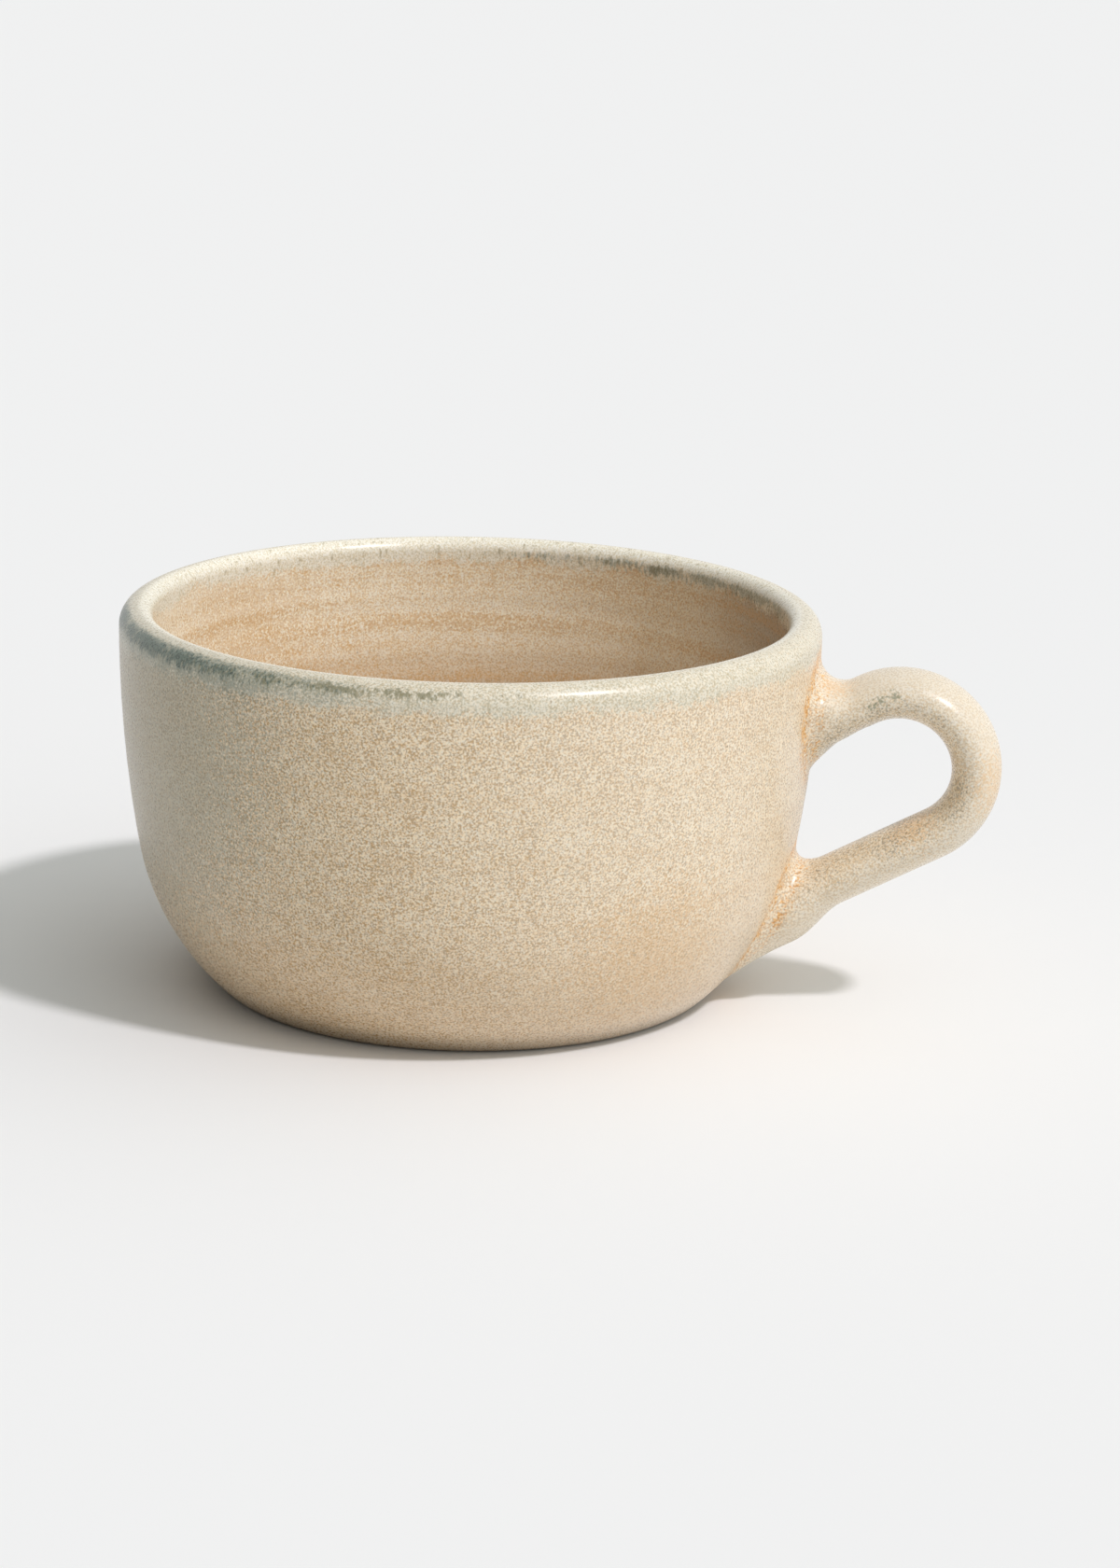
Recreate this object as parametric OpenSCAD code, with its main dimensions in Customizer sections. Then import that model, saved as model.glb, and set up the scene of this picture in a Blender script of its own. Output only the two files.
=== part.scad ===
// Stoneware cappuccino cup: a thrown bowl, a pulled loop handle and the two slip joints between them.
// Lengths are in millimetres and turns in degrees.
// The bowl stands on z = 0 around the z axis, and the handle points along +x.

/* [Bowl] */
// Diameter across the outside of the lip.
rim_d = 110; // [106:0.5:114]
// Height from the table to the crest of the lip.
cup_h = 61; // [59:0.25:63]
// Diameter of the flat foot, measured where its rounded edge begins.
foot_d = 74; // [71:0.5:77]
// How far the upper wall has turned in from upright where the belly begins.
wall_turn = 10; // [9:0.25:11]
// How far the belly has turned in where the foot's edge begins.
belly_turn = 48; // [45:1:51]
// Rounding between the belly and the foot.
foot_edge_r = 3.8; // [3:0.1:5]

/* [Wall and lip] */
// Thickness of the wall, the same from the lip to the belly.
wall_t = 5.2; // [4:0.1:6]
// Share of the lip's width that lies outside its crest.
lip_share = 0.6; // [0.5:0.01:0.65]
// Thickness of the floor above the table.
floor_t = 6; // [5:0.1:7.5]
// Turn of the inside at which the belly runs over into the floor's curve.
floor_turn = 30; // [27:1:33]

/* [Foot] */
// Width of the ring that the cup stands on.
foot_ring_w = 7; // [5:0.25:10]
// Depth of the hollow turned out inside the ring.
hollow_h = 1.6; // [1:0.1:2.4]

/* [Handle] */
// Distance from the outside of the lip to the centre of the bend.
bend_out = 13.3; // [12.5:0.1:14.5]
// Rise of the bend's centre over the middle of the cup's height.
bend_rise = 8.8; // [6.5:0.1:9.6]
// Radius of the bend along the middle of the handle.
bend_r = 11.8; // [11.2:0.1:12.4]
// Climb of the upper arm where it runs into the bend.
lift_turn = 30; // [26:1:34]
// Radius of the hollow curve between the upper end and the bend.
lift_r = 8; // [5:0.25:9]
// Slope of the straight lower arm.
fall_turn = 28.8; // [26:0.2:30]
// Thickness of the handle, in the plane of its loop.
grip_t = 7.7; // [6.5:0.1:8.5]
// Width of the handle, across the plane of its loop.
grip_w = 12.4; // [7.5:0.1:14.5]

/* [Handle ends] */
// Distance from the wall at which each arm starts to swell.
swell_reach = 6.8; // [5:0.2:9]
// Swelling of the upper arm's underside at the wall.
upper_swell = 4.1; // [2.5:0.1:4.8]
// Swelling of the lower arm's underside at the wall.
lower_swell = 2.5; // [1.5:0.1:3.2]
// Swelling of both arms to each side at the wall.
side_swell = 1.2; // [0.6:0.1:3.5]
// Fillet in the corner between the wall and the top of the lower arm.
corner_fillet_r = 4.5; // [3.2:0.1:5]
// Fillet above the upper arm and below both arms.
end_fillet_r = 3.6; // [2:0.1:4]
// Fillet on the two sides of both arms.
side_fillet_r = 2; // [1.2:0.1:3.5]
// Thickness of the slip between the handle and the wall.
slip_t = 1.2; // [0.8:0.1:1.6]

/* [Hidden] */
rim_r = rim_d / 2;
foot_r = foot_d / 2;
lip_out = wall_t * lip_share;
lip_in = wall_t - lip_out;
crest_r = rim_r - lip_out;
wall_top = cup_h - lip_out;

// Two tangent arcs, with the turns above, fill the height and the width between lip and foot.
arcs_h = wall_top - foot_edge_r * (1 - sin(belly_turn));
arcs_w = rim_r - foot_r - foot_edge_r * cos(belly_turn);
wall_drop_share = sin(wall_turn);
wall_in_share = 1 - cos(wall_turn);
belly_drop_share = sin(belly_turn) - sin(wall_turn);
belly_in_share = cos(wall_turn) - cos(belly_turn);
arcs_share = wall_drop_share * belly_in_share - belly_drop_share * wall_in_share;
wall_arc_r = (arcs_h * belly_in_share - arcs_w * belly_drop_share) / arcs_share;
belly_arc_r = (arcs_w * wall_drop_share - arcs_h * wall_in_share) / arcs_share;
wall_arc_c = [rim_r - wall_arc_r, wall_top];
belly_arc_c = wall_arc_c + (wall_arc_r - belly_arc_r) * [cos(wall_turn), -sin(wall_turn)];
foot_arc_c = [foot_r, foot_edge_r];

// The inside follows the same centres until it leaves them for the floor.
belly_in_r = belly_arc_r - wall_t;
floor_top = belly_arc_c.y - belly_in_r * sin(floor_turn);
floor_arc_r = (floor_top - floor_t) / (1 - sin(floor_turn));
floor_arc_c = belly_arc_c + (belly_in_r - floor_arc_r) * [cos(floor_turn), -sin(floor_turn)];
hollow_r = foot_r - foot_ring_w;

// The middle line of the handle runs from inside the wall, over the lift and the bend, down to the belly.
bend_x = rim_r + bend_out;
bend_h = cup_h / 2 + bend_rise;
bend_sweep = 180 + lift_turn - fall_turn;
bend_start = [bend_x - bend_r * sin(lift_turn), bend_h + bend_r * cos(lift_turn)];
bend_end = [bend_x + bend_r * sin(fall_turn), bend_h - bend_r * cos(fall_turn)];
lift_c = bend_start + lift_r * [-sin(lift_turn), cos(lift_turn)];
arm_x = rim_r - wall_t;
// The lower arm falls until it meets the wall or the belly, and runs on until its underside is inside too.
fall_heading = [-cos(fall_turn), -sin(fall_turn)];
function fall_to(c, r) =
    let (v = bend_end - c, beside = v * fall_heading)
    -beside - sqrt(pow(beside, 2) - v * v + pow(r, 2));
fall_to_wall = fall_to(wall_arc_c, wall_arc_r);
meets_wall = bend_end.y + fall_to_wall * fall_heading.y > belly_top(0);
fall_l = (meets_wall ? fall_to_wall : fall_to(belly_arc_c, belly_arc_r)) + wall_t + grip_t;
// Smallest share of the handle's section that is left at its hidden tips.
tip_share = 0.4;
// Height between the two ends of the handle.
parting_h = bend_h - bend_r;

// Steps along and around the handle, and around every turned shape.
arm_steps = 10;
lift_steps = 6;
bend_steps = 26;
fall_steps = 33;
ring_steps = 28;
turn_steps = 180;
curve_steps = 200;

// Height at which the wall's arc meets the belly's, and the belly's meets the foot's, in a grown outline.
function belly_top(grow) = wall_arc_c.y - (wall_arc_r + grow) * sin(wall_turn);
function belly_foot(grow) = belly_arc_c.y - (belly_arc_r + grow) * sin(belly_turn);

// Centre and radius of the arc of the wall that faces a point, and the point's place beside it.
function facing_belly(p) = atan2(belly_arc_c.y - p.z, norm([p.x, p.y]) - belly_arc_c.x) > wall_turn;
function facing_c(p) = facing_belly(p) ? belly_arc_c : wall_arc_c;
function facing_r(p) = facing_belly(p) ? belly_arc_r : wall_arc_r;
function beside_wall(p) = [norm([p.x, p.y]), p.z] - facing_c(p);
function off_wall(p) = norm(beside_wall(p)) - facing_r(p);
function wall_normal(p) =
    let (v = beside_wall(p) / norm(beside_wall(p)), r = norm([p.x, p.y]))
    [v.x * p.x / r, v.x * p.y / r, v.y];

// A point of the handle is wiped outwards along the wall, the more the closer it is to the wall.
function unit(v) = v / norm(v);
function along_wall(v, p) = unit(v - (v * wall_normal(p)) * wall_normal(p));
function wiped(p, away, r) = p + r * pow(max(0, 1 - max(0, off_wall(p)) / r), 2) * along_wall(away, p);

// Stations on the middle line: x, z and heading.
function on_lift(turn) = [lift_c.x + lift_r * sin(turn), lift_c.y - lift_r * cos(turn), turn];
function on_bend(turn) = [bend_x + bend_r * sin(turn), bend_h + bend_r * cos(turn), -turn];
stations = concat(
    [for (i = [0:arm_steps - 1]) [arm_x + (lift_c.x - arm_x) * i / arm_steps, lift_c.y - lift_r, 0]],
    [for (i = [0:lift_steps - 1]) on_lift(lift_turn * i / lift_steps)],
    [for (i = [0:bend_steps - 1]) on_bend(bend_sweep * i / bend_steps - lift_turn)],
    [for (i = [0:fall_steps])
        [
            bend_end.x + fall_l * fall_heading.x * i / fall_steps,
            bend_end.y + fall_l * fall_heading.y * i / fall_steps,
            fall_turn - 180
        ]]
);

// Share of the full swelling at a station: none in the loop, all of it at the wall.
function station_off(s) = off_wall([s.x, 0, s.y]);
function swell_share(s) =
    let (near = min(1, max(0, 1 - station_off(s) / swell_reach)))
    near * near * (3 - 2 * near);

// Share of the section that is left at a station: all of it outside the wall, rounding off inside.
function tip_left_share(s) = sqrt(max(pow(tip_share, 2), 1 - pow(min(0, station_off(s)) / wall_t, 2)));

// One point around a station; the loop's outside is at a quarter turn, its inside at three quarters.
function outer_swell(s) = s.y > bend_h ? 0 : lower_swell;
function inner_swell(s) = s.y > bend_h ? upper_swell : 0;
function half_t(s, out) =
    tip_left_share(s) * (grip_t / 2 + swell_share(s) * (out > 0 ? outer_swell(s) : inner_swell(s)));
function half_w(s) = tip_left_share(s) * (grip_w / 2 + swell_share(s) * side_swell);
function inner_fillet_r(s) = s.y > bend_h ? end_fillet_r : corner_fillet_r;
function loop_fillet_r(s, out) = out > 0 ? end_fillet_r : inner_fillet_r(s);
function fillet_r(s, out) = side_fillet_r + (loop_fillet_r(s, out) - side_fillet_r) * pow(out, 2);
function ring_point(s, turn) =
    let (
        out = sin(turn),
        reach = half_t(s, out) * out * [-sin(s.z), 0, cos(s.z)] + half_w(s) * cos(turn) * [0, 1, 0]
    )
    wiped([s.x, 0, s.y] + reach, unit(reach), fillet_r(s, out));

rings = len(stations);
sweep_points = concat(
    [for (s = stations, j = [0:ring_steps - 1]) ring_point(s, 360 * j / ring_steps)],
    [for (i = [0, rings - 1]) [stations[i].x, 0, stations[i].y]]
);
function at(i, j) = i * ring_steps + j % ring_steps;
sweep_faces = concat(
    [for (i = [0:rings - 2], j = [0:ring_steps - 1]) [at(i, j), at(i + 1, j + 1), at(i, j + 1)]],
    [for (i = [0:rings - 2], j = [0:ring_steps - 1]) [at(i, j), at(i + 1, j), at(i + 1, j + 1)]],
    [for (j = [0:ring_steps - 1]) [rings * ring_steps, at(0, j), at(0, j + 1)]],
    [for (j = [0:ring_steps - 1]) [rings * ring_steps + 1, at(rings - 1, j + 1), at(rings - 1, j)]]
);

// The part of a disc between two heights, on the outer side of the axis.
module band(centre, r, low, high) {
    intersection() {
        translate(centre) circle(r, $fn = curve_steps);
        translate([0, low]) square([rim_d, high - low]);
    }
}

// A quarter of a disc that starts at the given turn.
module quarter(centre, r, turn) {
    translate(centre) rotate(turn) intersection() {
        circle(r, $fn = curve_steps);
        square(r);
    }
}

// Half section of the bowl as if it were solid, up to the given height, with its outside grown by a layer.
module outside_section(grow, top) {
    band(wall_arc_c, wall_arc_r + grow, belly_top(grow), top);
    band(belly_arc_c, belly_arc_r + grow, belly_foot(grow), belly_arc_c.y);
    band(foot_arc_c, foot_edge_r + grow, -grow, foot_arc_c.y);
    translate([0, -grow]) square([foot_r, top + grow]);
}

// Half section of the space inside, from the floor to the top of the wall.
module inside_section() {
    band(wall_arc_c, wall_arc_r - wall_t, belly_top(-wall_t), wall_top);
    band(belly_arc_c, belly_in_r, floor_top, belly_arc_c.y);
    quarter(floor_arc_c, floor_arc_r, -90);
    translate([0, floor_t]) square([floor_arc_c.x, wall_top - floor_t]);
}

// Half section of the hollow under the foot.
module hollow_section() {
    square([hollow_r - hollow_h, hollow_h]);
    quarter([hollow_r - hollow_h, 0], hollow_h, 0);
}

// Half section of the lip: a wide round outside its crest and a tighter one inside.
module lip_section() {
    quarter([crest_r, wall_top], lip_out, 0);
    quarter([crest_r, cup_h - lip_in], lip_in, 90);
    translate([crest_r - lip_in, wall_top]) square([lip_in, lip_out - lip_in]);
}

module sweep() {
    polyhedron(points = sweep_points, faces = sweep_faces, convexity = 8);
}

module turned() {
    rotate_extrude($fn = turn_steps) children();
}

// Slip between the handle and the wall, between two heights.
module slip(low, high) {
    intersection() {
        sweep();
        turned() intersection() {
            difference() {
                outside_section(slip_t, cup_h);
                outside_section(0, cup_h);
            }
            translate([0, low]) square([rim_d, high - low]);
        }
    }
}

module bowl() {
    color([0.86, 0.77, 0.65]) turned() {
        difference() {
            outside_section(0, wall_top);
            inside_section();
            hollow_section();
        }
        lip_section();
    }
}

module handle() {
    color([0.87, 0.80, 0.69]) difference() {
        sweep();
        turned() outside_section(slip_t, cup_h);
    }
}

module upper_slip_joint() {
    color([0.83, 0.62, 0.40]) slip(parting_h, cup_h);
}

module lower_slip_joint() {
    color([0.83, 0.62, 0.40]) slip(0, parting_h);
}

bowl();
handle();
upper_slip_joint();
lower_slip_joint();
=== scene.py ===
# %% [markdown]
# # A stoneware cappuccino cup
# The cup is a low, wide bowl thrown on a wheel, a handle pulled from a strip of clay, and two
# wipes of wet slip that fix the handle to the wall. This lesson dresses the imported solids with
# finer meshes and a speckled oatmeal glaze, then sets up a plain studio around them.

# %% Load the frame
import math
import bmesh
import bpy
from mathutils import Matrix, Vector, kdtree


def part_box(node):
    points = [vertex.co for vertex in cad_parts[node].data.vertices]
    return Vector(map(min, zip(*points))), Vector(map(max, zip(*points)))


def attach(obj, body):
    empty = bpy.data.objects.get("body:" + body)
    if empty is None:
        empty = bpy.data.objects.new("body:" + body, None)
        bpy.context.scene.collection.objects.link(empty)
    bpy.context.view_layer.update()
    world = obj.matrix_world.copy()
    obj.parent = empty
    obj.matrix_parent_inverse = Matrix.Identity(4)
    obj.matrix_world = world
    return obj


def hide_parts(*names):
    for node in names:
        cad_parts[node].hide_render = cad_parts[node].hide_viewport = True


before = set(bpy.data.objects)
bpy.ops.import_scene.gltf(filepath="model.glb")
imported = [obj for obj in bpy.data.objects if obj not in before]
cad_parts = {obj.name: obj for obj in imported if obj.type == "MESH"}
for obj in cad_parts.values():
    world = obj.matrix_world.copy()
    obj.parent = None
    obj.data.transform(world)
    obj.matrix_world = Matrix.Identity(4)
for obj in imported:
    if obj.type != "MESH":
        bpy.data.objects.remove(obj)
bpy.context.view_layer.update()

# %% [markdown]
# ## The sizes that drive the bowl
# Everything here is drawn in millimetres, as a potter would sketch it, and brought to metres when
# the meshes become pieces. The width and the height come from the frame. The other sizes are the
# bowl's own: the wall bends in two smooth arcs that touch each other, so two equations give their
# radii. The arcs could also be traced by eye, but then they would not meet without a kink.

# %% Measure the bowl and work out its two arcs
MM = 0.001
bowl_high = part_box("bowl")[1]
rim_r = round(bowl_high.x / MM, 1)
cup_h = round(bowl_high.z / MM, 1)
foot_r, foot_edge_r = 37.0, 3.8
wall_turn, belly_turn = math.radians(10), math.radians(48)
wall_t, lip_share = 5.2, 0.6
lip_out = wall_t * lip_share
lip_in = wall_t - lip_out
crest_r = rim_r - lip_out
wall_top = cup_h - lip_out


def around(centre, radius, turn):
    """The point of a circle at a turn: 0 is level outwards, a quarter turn is straight up."""
    return Vector((centre.x + radius * math.cos(turn), 0, centre.z + radius * math.sin(turn)))


tall = wall_top - foot_edge_r * (1 - math.sin(belly_turn))
wide = rim_r - foot_r - foot_edge_r * math.cos(belly_turn)
wall_drop, wall_in = math.sin(wall_turn), 1 - math.cos(wall_turn)
belly_drop = math.sin(belly_turn) - math.sin(wall_turn)
belly_in = math.cos(wall_turn) - math.cos(belly_turn)
both = wall_drop * belly_in - belly_drop * wall_in
wall_r = (tall * belly_in - wide * belly_drop) / both
belly_r = (wide * wall_drop - tall * wall_in) / both
wall_c = Vector((rim_r - wall_r, 0, wall_top))
belly_c = around(wall_c, wall_r - belly_r, -wall_turn)
foot_c = Vector((foot_r, 0, foot_edge_r))
print("rim", 2 * rim_r, "height", cup_h, "wall arc", round(wall_r, 1), "belly arc", round(belly_r, 1))

# %% [markdown]
# ## A compass and a ruler
# A thrown bowl is a half outline turned around the wheel's axis. The outline could be typed in as
# a list of points. Here a pen vertex is swung around each arc's centre instead, the way a compass
# draws, so that every curve is true and flows into the next. A ruler draws the straight stretches.

# %% Helpers that draw an outline
def compass(outline, pen, centre, turn, steps):
    """Swing the pen vertex around a centre and return the vertex where it stops."""
    swung = bmesh.ops.spin(outline, geom=[pen], cent=centre, axis=(0, -1, 0), dvec=(0, 0, 0),
                           angle=turn, steps=steps, use_merge=False, use_duplicate=False)
    return next(v for v in swung["geom_last"] if isinstance(v, bmesh.types.BMVert))


def ruler(outline, pen, end, steps):
    """Draw a straight line from the pen vertex and return its last vertex."""
    start = pen.co.copy()
    for step in range(steps):
        pen = bmesh.ops.extrude_vert_indiv(outline, verts=[pen])["verts"][0]
        pen.co = start.lerp(end, (step + 1) / steps)
    return pen


print("compass and ruler ready")

# %% [markdown]
# ## The outline of the bowl
# The pen starts in the middle of the floor, climbs the inside, goes over the lip and comes down
# the outside to the hollow in the foot. The inside could be a scaled copy of the outside, but a
# potter keeps the wall even, so the same centres serve the inside, one wall thickness further in.
# The lip is a wide round outside and a tighter one inside.

# %% Draw the half outline
quarter = math.radians(90)
floor_t, floor_turn = 6.0, math.radians(30)
belly_in_r = belly_r - wall_t
floor_arc_r = (belly_c.z - belly_in_r * math.sin(floor_turn) - floor_t) / (1 - math.sin(floor_turn))
floor_c = around(belly_c, belly_in_r - floor_arc_r, -floor_turn)
foot_ring_w, hollow_h, ring_edge_r = 7.0, 1.6, 0.5
hollow_c = Vector((foot_r - foot_ring_w - hollow_h, 0, 0))
ring_c = Vector((foot_r - foot_ring_w + ring_edge_r, 0, ring_edge_r))
hollow_from = math.asin(ring_edge_r / hollow_h)

STEPS = {"floor": 40, "floor arc": 20, "inner belly": 16, "inner wall": 56, "lip start": 2,
         "inner lip": 10, "outer lip": 14, "wall": 48, "belly": 36, "foot edge": 8, "foot ring": 5,
         "ring edge": 4, "hollow start": 1, "hollow arc": 6, "hollow": 12}
bowl_mesh = bmesh.new()
pen = bowl_mesh.verts.new((0, 0, floor_t))
pen = ruler(bowl_mesh, pen, Vector((floor_c.x, 0, floor_t)), STEPS["floor"])
pen = compass(bowl_mesh, pen, floor_c, quarter - floor_turn, STEPS["floor arc"])
pen = compass(bowl_mesh, pen, belly_c, floor_turn - wall_turn, STEPS["inner belly"])
pen = compass(bowl_mesh, pen, wall_c, wall_turn, STEPS["inner wall"])
pen = ruler(bowl_mesh, pen, Vector((rim_r - wall_t, 0, cup_h - lip_in)), STEPS["lip start"])
pen = compass(bowl_mesh, pen, Vector((crest_r, 0, cup_h - lip_in)), -quarter, STEPS["inner lip"])
pen = compass(bowl_mesh, pen, Vector((crest_r, 0, wall_top)), -quarter, STEPS["outer lip"])
pen = compass(bowl_mesh, pen, wall_c, -wall_turn, STEPS["wall"])
pen = compass(bowl_mesh, pen, belly_c, wall_turn - belly_turn, STEPS["belly"])
pen = compass(bowl_mesh, pen, foot_c, belly_turn - quarter, STEPS["foot edge"])
pen = ruler(bowl_mesh, pen, Vector((ring_c.x, 0, 0)), STEPS["foot ring"])
pen = compass(bowl_mesh, pen, ring_c, -quarter, STEPS["ring edge"])
pen = ruler(bowl_mesh, pen, around(hollow_c, hollow_h, hollow_from), STEPS["hollow start"])
pen = compass(bowl_mesh, pen, hollow_c, quarter - hollow_from, STEPS["hollow arc"])
pen = ruler(bowl_mesh, pen, Vector((0, 0, hollow_h)), STEPS["hollow"])
print("outline vertices:", len(bowl_mesh.verts))

# %% [markdown]
# ## Turning the outline
# A full spin with merging makes the bowl, and merging doubles closes the two poles on the axis.
# A Screw modifier would turn the outline too, but the next step needs the vertices at once.

# %% Spin the bowl
TURN_STEPS = 256
weld_gap = 0.001
bmesh.ops.spin(bowl_mesh, geom=bowl_mesh.verts[:] + bowl_mesh.edges[:], cent=(0, 0, 0), axis=(0, 0, 1),
               dvec=(0, 0, 0), angle=2 * math.pi, steps=TURN_STEPS, use_merge=True, use_duplicate=False)
bmesh.ops.remove_doubles(bowl_mesh, verts=bowl_mesh.verts, dist=weld_gap)
bmesh.ops.recalc_face_normals(bowl_mesh, faces=bowl_mesh.faces)
print("bowl faces:", len(bowl_mesh.faces))

# %% [markdown]
# ## Throwing lines
# Fingers leave a faint spiral in wet clay: one shallow ridge for each turn of the wheel. A bump
# map could fake it, but real relief also bends the light at the edge. So the skin is pressed in
# between the ridges, by up to a tenth of a millimetre inside the bowl and by less outside. The
# lip, the foot and the middle of the floor stay as they are.

# %% Press the throwing lines into the bowl
def smooth(share):
    """A share between 0 and 1 that starts and ends gently."""
    share = min(1.0, max(0.0, share))
    return share * share * (3 - 2 * share)


line_pitch, inside_depth, outside_depth = 4.6, 0.10, 0.03
quick_share, slow_share, slow_rate, slow_start = 0.6, 0.4, 0.57, 1.0
lip_margin, lip_fade, foot_fade, outward_share = 2.0, 4.0, 6.0, 0.2
for vertex in bowl_mesh.verts:
    radius = math.hypot(vertex.co.x, vertex.co.y)
    if radius < foot_r and vertex.co.z < floor_t - ring_edge_r or radius < line_pitch:
        continue
    turn = math.atan2(vertex.co.y, vertex.co.x)
    wheel = 2 * math.pi * (vertex.co.z - radius) / line_pitch + turn
    slow_wheel = slow_rate * (wheel - turn) + turn + slow_start
    wave = quick_share * math.sin(wheel) + slow_share * math.sin(slow_wheel)
    clear_of_lip = smooth((wall_top - lip_margin - vertex.co.z) / lip_fade)
    clear_of_foot = smooth((vertex.co.z - foot_edge_r) / foot_fade) if radius > foot_r else 1.0
    outward = vertex.normal.x * vertex.co.x + vertex.normal.y * vertex.co.y
    depth = outside_depth if outward > outward_share * radius else inside_depth
    vertex.co -= vertex.normal * depth * (0.5 + 0.5 * wave) * clear_of_lip * clear_of_foot
print("throwing lines every", line_pitch, "mm, depth in mm inside:", inside_depth, "outside:", outside_depth)

# %% [markdown]
# ## Where the handle runs
# A pulled handle is an oval rope of clay. It leaves the wall level, lifts a little, goes round
# one bend and falls straight back to the belly. The loop lies in the plane of x and z. Close to
# the wall each arm swells, because the potter thickens the ends before pressing them on.
# A curve object with a bevel would give the rope, but not the swelling ends, so the rope is
# described by its own two arms and one bend, and operators draw it ring by ring.

# %% Describe the handle's middle line
grip_t, grip_w = 7.7, 12.4
bend_r, lift_r = 11.8, 8.0
lift_turn, fall_turn = math.radians(30), math.radians(28.8)
bend_out, bend_rise = 13.3, 8.8
bend_c = Vector((rim_r + bend_out, 0, cup_h / 2 + bend_rise))
bend_start = around(bend_c, bend_r, quarter + lift_turn)
bend_end = around(bend_c, bend_r, fall_turn - quarter)
lift_c = around(bend_start, lift_r, quarter + lift_turn)
across = Vector((0, 1, 0))
least_radius = 0.001


def upper_arm(run):
    """Centre and outer side of the upper arm, a run of millimetres back from the bend."""
    turn = max(0.0, lift_turn - run / lift_r)
    centre = around(lift_c, lift_r, turn - quarter)
    centre.x -= max(0.0, run - lift_r * lift_turn)
    return centre, around(Vector(), 1, turn + quarter)


def lower_arm(run):
    """Centre and outer side of the lower arm, a run of millimetres down from the bend."""
    return bend_end - around(Vector(), run, fall_turn), around(Vector(), 1, fall_turn - quarter)


def beside_wall(point):
    """How far a point stands off the outside of the bowl, and the wall's direction outwards there."""
    radius = max(math.hypot(point.x, point.y), least_radius)
    below = math.atan2(belly_c.z - point.z, radius - belly_c.x) > wall_turn
    centre, arc = (belly_c, belly_r) if below else (wall_c, wall_r)
    way = Vector((radius - centre.x, 0, point.z - centre.z))
    gap = way.length - arc
    way.normalize()
    return gap, Vector((way.x * point.x / radius, way.x * point.y / radius, way.z))


print("gaps at the arms' starts:", [round(beside_wall(arm(0)[0])[0], 1) for arm in (upper_arm, lower_arm)])

# %% [markdown]
# ## How the ends are wiped onto the wall
# A thumb drags the end of each arm outwards over the wall and leaves a hollow fillet. Each skin
# point is found from the gap that it should have to the wall: first the place along the arm
# where the swollen rope comes that close, then a push along the wall that follows a quarter
# circle, so that the fillet ends flat on the wall. A boolean with a bevel on the seam could do
# the same, but on a round wall such a bevel often breaks.

# %% Find a skin point of an arm by its gap to the wall
swell_reach, side_swell = 6.8, 1.2
end_fillet_r, corner_fillet_r, side_fillet_r = 3.8, 4.9, 2.0
longest_run, halvings = 45.0, 24
upper_end = {"arm": upper_arm, "outer_swell": 0.0, "inner_swell": 4.1, "inner_fillet": end_fillet_r}
lower_end = {"arm": lower_arm, "outer_swell": 2.5, "inner_swell": 0.0, "inner_fillet": corner_fillet_r}


def rope_point(end, run, out, side):
    """Centre of the arm and reach from it to the swollen skin, on the outer (+) or inner (-) side."""
    centre, outer = end["arm"](run)
    share = smooth(1 - beside_wall(centre)[0] / swell_reach)
    half_t = grip_t / 2 + share * (end["outer_swell"] if out > 0 else end["inner_swell"])
    half_w = grip_w / 2 + share * side_swell
    return centre, outer * out * half_t + across * side * half_w


def skin_point(end, gap, out, side):
    """The point of an arm's skin that stands a given gap off the wall, wiped out along the wall."""
    near, far = 0.0, longest_run
    for _ in range(halvings):
        run = (near + far) / 2
        centre, reach = rope_point(end, run, out, side)
        near, far = (run, far) if beside_wall(centre + reach)[0] > gap else (near, run)
    point = centre + reach
    way = beside_wall(point)[1]
    fillet = end_fillet_r if out > 0 else end["inner_fillet"]
    fillet = side_fillet_r + (fillet - side_fillet_r) * out * out
    close = min(1.0, max(0.0, 1 - gap / fillet))
    along = (reach - way * reach.dot(way)).normalized()
    point = point + along * fillet * (1 - math.sqrt(1 - close * close))
    now, way = beside_wall(point)
    return point + way * (gap - now)


slip_t = 1.2
print("top of the upper end on the wall:", [round(x, 1) for x in skin_point(upper_end, 0.0, 1.0, 0.0)])

# %% [markdown]
# ## Rings that know their sides
# The handle's rope is a row of rings, and each ring is a circle pressed to an oval. With a skin or
# a bevel modifier it is hard to tell which vertex lies where. So every vertex notes in two small
# layers on which side of the rope it lies, and each extrusion hands the notes on to the next ring.

# %% Helpers that draw the rope
RING_STEPS = 80


def start_rope():
    """A new mesh whose vertices can note on which side of the rope they lie."""
    mesh = bmesh.new()
    for layer in ("out_side", "cross_side"):
        mesh.verts.layers.float.new(layer)
    return mesh


def kinds(geometry, kind):
    """The vertices or the edges in what an operator gives back."""
    return [part for part in geometry if isinstance(part, kind)]


def draw_ring(mesh, place):
    """Draw a fresh ring from a circle and put each of its points where place says."""
    ring = bmesh.ops.create_circle(mesh, cap_ends=False, segments=RING_STEPS, radius=1)["verts"]
    out, side = mesh.verts.layers.float["out_side"], mesh.verts.layers.float["cross_side"]
    for vertex in ring:
        vertex[out], vertex[side] = vertex.co.x, vertex.co.y
        vertex.co = place(vertex[out], vertex[side])
    return ring, list({edge for vertex in ring for edge in vertex.link_edges})


def draw_on(mesh, edges, place):
    """Extrude an open ring once more and put each new point where place says."""
    drawn = bmesh.ops.extrude_edge_only(mesh, edges=edges)["geom"]
    out, side = mesh.verts.layers.float["out_side"], mesh.verts.layers.float["cross_side"]
    for vertex in kinds(drawn, bmesh.types.BMVert):
        vertex.co = place(vertex[out], vertex[side])
    return kinds(drawn, bmesh.types.BMEdge)


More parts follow.
